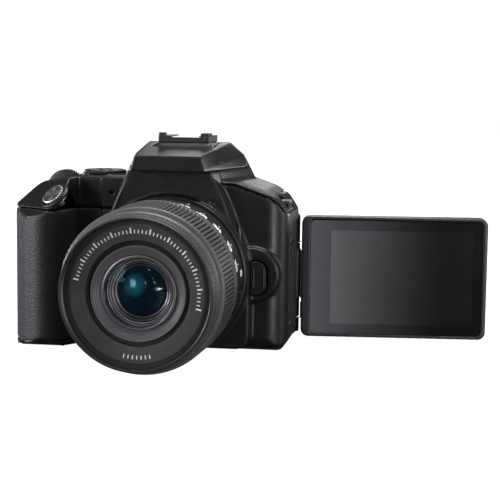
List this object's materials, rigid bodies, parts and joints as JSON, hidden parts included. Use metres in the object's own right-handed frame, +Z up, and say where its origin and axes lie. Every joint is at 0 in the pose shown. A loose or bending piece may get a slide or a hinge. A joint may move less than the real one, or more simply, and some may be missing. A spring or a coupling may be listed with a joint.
{
  "type": "digital reflex camera",
  "caption": "Compact single-lens reflex camera with a zoom lens, pop-up flash, hand grip and a side-hinged screen folded out to face the front.",
  "frame": {"origin": "mouth of the tripod socket, on the base plane and under the optical axis", "axes": "+Z up, -Y along the way the lens looks, +X towards the screen's hinge (the left hand of whoever holds it)"},
  "size_m": [0.2031, 0.1266, 0.0908],
  "materials": {
    "body_plastic": "fine matt grain",
    "grip_rubber": "leather-like grain",
    "lens_plastic": "satin",
    "trim_plastic": "gloss",
    "inner_plastic": "flocked matt",
    "name_plate": "satin",
    "steel": "brushed",
    "bright_metal": "spun",
    "shoe_metal": "satin",
    "black_metal": "satin",
    "glass": "coated",
    "display": "gloss",
    "mirror": "silvered",
    "circuit": "solder mask",
    "cell": "matt",
    "diffuser": "frosted"
  },
  "bodies": {
    "body": {"front_cover": "body_plastic", "top_cover": "body_plastic", "rear_cover": "body_plastic", "bottom_cover": "body_plastic", "grip_rubber": "grip_rubber", "thumb_rest": "grip_rubber", "mirror_box": "inner_plastic", "body_mount_ring": "steel", "screws": "steel", "focusing_screen": "glass", "pentamirror": "mirror", "eyepiece_lens": "glass", "eyecup": "grip_rubber", "shutter_frame": "black_metal", "image_sensor": "trim_plastic", "main_board": "circuit", "battery": "cell", "memory_card": "inner_plastic", "hot_shoe": "shoe_metal", "strap_lugs": "steel", "tripod_socket": "steel", "lens_mount": "steel", "lens_barrel": "lens_plastic", "aperture_unit": "black_metal"},
    "flash": {"flash_head": "body_plastic", "flash_window": "diffuser"},
    "mirror": {"main_mirror": "mirror"},
    "front_curtain": {"shutter_front_curtain": "black_metal"},
    "rear_curtain": {"shutter_rear_curtain": "black_metal"},
    "battery_door": {"battery_door": "body_plastic"},
    "terminal_cover": {"terminal_cover": "grip_rubber"},
    "shutter_button": {"shutter_button": "bright_metal"},
    "main_dial": {"main_dial": "lens_plastic"},
    "mode_dial": {"mode_dial": "body_plastic"},
    "power_lever": {"power_lever": "body_plastic"},
    "iso_button": {"iso_button": "body_plastic"},
    "live_view_button": {"live_view_button": "body_plastic"},
    "ae_lock_button": {"ae_lock_button": "body_plastic"},
    "playback_button": {"playback_button": "body_plastic"},
    "erase_button": {"erase_button": "body_plastic"},
    "menu_button": {"menu_button": "body_plastic"},
    "info_button": {"info_button": "body_plastic"},
    "cross_keys": {"cross_keys": "body_plastic"},
    "set_button": {"set_button": "body_plastic"},
    "dioptre_knob": {"dioptre_knob": "body_plastic"},
    "lens_release_button": {"lens_release_button": "body_plastic"},
    "lens_lock_pin": {"lens_lock_pin": "steel"},
    "screen_hinge": {"screen_hinge": "body_plastic"},
    "screen": {"screen_bezel": "body_plastic", "screen_back_shell": "body_plastic", "display_panel": "display"},
    "zoom_ring": {"zoom_ring": "lens_plastic"},
    "inner_barrel": {"inner_barrel": "lens_plastic", "name_ring": "name_plate", "front_element": "glass"},
    "focus_ring": {"focus_ring": "lens_plastic"},
    "focus_group": {"focus_group": "inner_plastic"},
    "focus_switch": {"focus_switch": "lens_plastic"},
    "stabiliser_switch": {"stabiliser_switch": "lens_plastic"}
  },
  "joints": [
    {"name": "flash_lift", "type": "hinge", "parent": "body", "child": "flash", "pos_m": [0, 0.006, 0.0832], "axis": [-1, 0, 0], "range_deg": [0, 70]},
    {"name": "mirror_flip", "type": "hinge", "parent": "body", "child": "mirror", "pos_m": [0, -0.004, 0.0445], "axis": [-1, 0, 0], "range_deg": [0, 45], "stiffness_Nm_per_rad": 0.001, "springref_deg": -17.19},
    {"name": "front_curtain_run", "type": "slide", "parent": "body", "child": "front_curtain", "axis": [0, 0, -1], "range_m": [0, 0.0174]},
    {"name": "rear_curtain_run", "type": "slide", "parent": "body", "child": "rear_curtain", "axis": [0, 0, -1], "range_m": [0, 0.0174]},
    {"name": "battery_door_hinge", "type": "hinge", "parent": "body", "child": "battery_door", "pos_m": [-0.0479, -0.0115, 0.0011], "axis": [0, -1, 0], "range_deg": [0, 95]},
    {"name": "terminal_cover_hinge", "type": "hinge", "parent": "body", "child": "terminal_cover", "pos_m": [0.0478, -0.012, 0.0285], "axis": [0, 0, -1], "range_deg": [0, 95]},
    {"name": "shutter_press", "type": "slide", "parent": "body", "child": "shutter_button", "axis": [0.4189, 0.5685, -0.7081], "range_m": [0, 0.0006], "stiffness_N_per_m": 600, "springref_m": -0.0003},
    {"name": "main_dial_turn", "type": "hinge", "parent": "body", "child": "main_dial", "pos_m": [-0.0505, -0.011, 0.0677], "axis": [0, 1, 0], "continuous": true},
    {"name": "mode_dial_turn", "type": "hinge", "parent": "body", "child": "mode_dial", "pos_m": [-0.0364, 0.002, 0.074], "axis": [0, 0, 1], "continuous": true},
    {"name": "power_lever_turn", "type": "hinge", "parent": "body", "child": "power_lever", "pos_m": [-0.0364, 0.002, 0.0732], "axis": [0, 0, 1], "range_deg": [-25, 25]},
    {"name": "iso_press", "type": "slide", "parent": "body", "child": "iso_button", "axis": [0, 0, -1], "range_m": [0, 0.0006], "stiffness_N_per_m": 400, "springref_m": -0.0003},
    {"name": "live_view_press", "type": "slide", "parent": "body", "child": "live_view_button", "axis": [0, -1, 0], "range_m": [0, 0.0006], "stiffness_N_per_m": 400, "springref_m": -0.0003},
    {"name": "ae_lock_press", "type": "slide", "parent": "body", "child": "ae_lock_button", "axis": [0, -1, 0], "range_m": [0, 0.0006], "stiffness_N_per_m": 400, "springref_m": -0.0003},
    {"name": "playback_press", "type": "slide", "parent": "body", "child": "playback_button", "axis": [0, -1, 0], "range_m": [0, 0.0006], "stiffness_N_per_m": 400, "springref_m": -0.0003},
    {"name": "erase_press", "type": "slide", "parent": "body", "child": "erase_button", "axis": [0, -1, 0], "range_m": [0, 0.0006], "stiffness_N_per_m": 400, "springref_m": -0.0003},
    {"name": "menu_press", "type": "slide", "parent": "body", "child": "menu_button", "axis": [0, -1, 0], "range_m": [0, 0.0006], "stiffness_N_per_m": 400, "springref_m": -0.0003},
    {"name": "info_press", "type": "slide", "parent": "body", "child": "info_button", "axis": [0, -1, 0], "range_m": [0, 0.0006], "stiffness_N_per_m": 400, "springref_m": -0.0003},
    {"name": "cross_keys_press", "type": "slide", "parent": "body", "child": "cross_keys", "axis": [0, -1, 0], "range_m": [0, 0.0006], "stiffness_N_per_m": 400, "springref_m": -0.0003},
    {"name": "set_press", "type": "slide", "parent": "body", "child": "set_button", "axis": [0, -1, 0], "range_m": [0, 0.0006], "stiffness_N_per_m": 400, "springref_m": -0.0003},
    {"name": "dioptre_turn", "type": "hinge", "parent": "body", "child": "dioptre_knob", "pos_m": [0.0205, 0.02, 0.0644], "axis": [0, 1, 0], "range_deg": [-150, 150]},
    {"name": "lens_release_press", "type": "slide", "parent": "body", "child": "lens_release_button", "axis": [0, 1, 0], "range_m": [0, 0.0015], "stiffness_N_per_m": 500, "springref_m": -0.001},
    {"name": "lens_lock_pull", "type": "slide", "parent": "body", "child": "lens_lock_pin", "axis": [0, 1, 0], "range_m": [0, 0.0015]},
    {"name": "screen_swing", "type": "hinge", "parent": "body", "child": "screen_hinge", "pos_m": [0.0467, 0.0199, 0.028], "axis": [0, 0, -1], "range_deg": [-175, 0]},
    {"name": "screen_tilt", "type": "hinge", "parent": "screen_hinge", "child": "screen", "pos_m": [0.0467, 0.0199, 0.028], "axis": [-0.9962, -0.0872, 0], "range_deg": [0, 270]},
    {"name": "zoom_turn", "type": "hinge", "parent": "body", "child": "zoom_ring", "pos_m": [0, -0.064, 0.0338], "axis": [0, 1, 0], "range_deg": [0, 75]},
    {"name": "barrel_slide", "type": "slide", "parent": "body", "child": "inner_barrel", "axis": [0, -1, 0], "range_m": [0, 0.0131]},
    {"name": "focus_turn", "type": "hinge", "parent": "inner_barrel", "child": "focus_ring", "pos_m": [0, -0.0887, 0.0338], "axis": [0, 1, 0], "continuous": true},
    {"name": "focus_group_slide", "type": "slide", "parent": "body", "child": "focus_group", "axis": [0, -1, 0], "range_m": [0, 0.003]},
    {"name": "focus_switch_slide", "type": "hinge", "parent": "body", "child": "focus_switch", "pos_m": [0, -0.0402, 0.0338], "axis": [0, -1, 0], "range_deg": [0, 5]},
    {"name": "stabiliser_switch_slide", "type": "hinge", "parent": "body", "child": "stabiliser_switch", "pos_m": [0, -0.0402, 0.0338], "axis": [0, -1, 0], "range_deg": [0, 5]}
  ],
  "couplings": [
    {"joint": "barrel_slide", "follows": "zoom_turn", "m_per_rad": 0.0099},
    {"joint": "lens_lock_pull", "follows": "lens_release_press", "ratio": 1}
  ]
}
